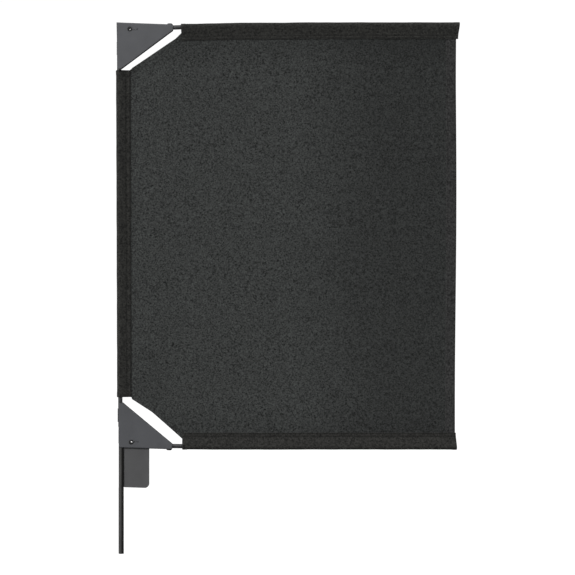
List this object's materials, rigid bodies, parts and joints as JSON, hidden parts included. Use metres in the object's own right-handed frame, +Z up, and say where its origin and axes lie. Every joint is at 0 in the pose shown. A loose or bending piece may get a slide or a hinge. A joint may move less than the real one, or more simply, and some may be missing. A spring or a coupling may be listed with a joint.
{
  "type": "folding light flag",
  "caption": "Folding light-blocking flag: a black cloth cover stretched over a C-shaped rod frame with hinged arms, on a round grip pin with a side tab.",
  "frame": {"origin": "on the grip pin's axis, at the lower end of its plain length, just above the rounded tip", "axes": "+Z up the pin and post, +X along the unfolded arms towards the open edge, the front faces -Y"},
  "size_m": [0.6116, 0.0273, 0.9466],
  "materials": {
    "painted_steel": "satin dark grey powder coat",
    "pin_steel": "satin dark grey, rubbed bright at the tip",
    "rivet_steel": "blackened steel",
    "spacer_nylon": "matte black nylon",
    "cap_vinyl": "soft matte vinyl",
    "flag_cloth": "matte woven black cotton",
    "sleeve_tape": "dense matte black binding tape",
    "hook_tape": "moulded hooks on woven tape",
    "loop_tape": "brushed loops on woven tape"
  },
  "bodies": {
    "frame": {"grip_pin": "pin_steel", "grip_tab": "painted_steel", "post_rod": "painted_steel", "post_welds": "painted_steel", "upper_bracket": "painted_steel", "lower_bracket": "painted_steel", "upper_pivot_rivet": "rivet_steel", "lower_pivot_rivet": "rivet_steel", "upper_pivot_spacers": "spacer_nylon", "lower_pivot_spacers": "spacer_nylon", "upper_stop_rivet": "rivet_steel", "lower_stop_rivet": "rivet_steel", "post_sleeve": "sleeve_tape", "hook_strip": "hook_tape", "loop_strip": "loop_tape", "flag_panel": "flag_cloth", "right_hem": "sleeve_tape", "upper_corner_binding": "sleeve_tape", "lower_corner_binding": "sleeve_tape"},
    "upper_arm": {"upper_arm_rod": "painted_steel", "upper_tip_cap": "cap_vinyl", "upper_sleeve": "sleeve_tape"},
    "lower_arm": {"lower_arm_rod": "painted_steel", "lower_tip_cap": "cap_vinyl", "lower_sleeve": "sleeve_tape"}
  },
  "joints": [
    {"name": "upper_arm_fold", "type": "hinge", "parent": "frame", "child": "upper_arm", "pos_m": [0.016, -0.0076, 0.933], "axis": [0, 1, 0], "range_deg": [0, 90], "deforming": ["flag_panel", "right_hem", "upper_corner_binding", "lower_corner_binding"]},
    {"name": "lower_arm_fold", "type": "hinge", "parent": "frame", "child": "lower_arm", "pos_m": [0.0182, 0.0076, 0.1981], "axis": [0, -1, 0], "range_deg": [0, 90], "deforming": ["flag_panel", "right_hem", "upper_corner_binding", "lower_corner_binding"]}
  ]
}
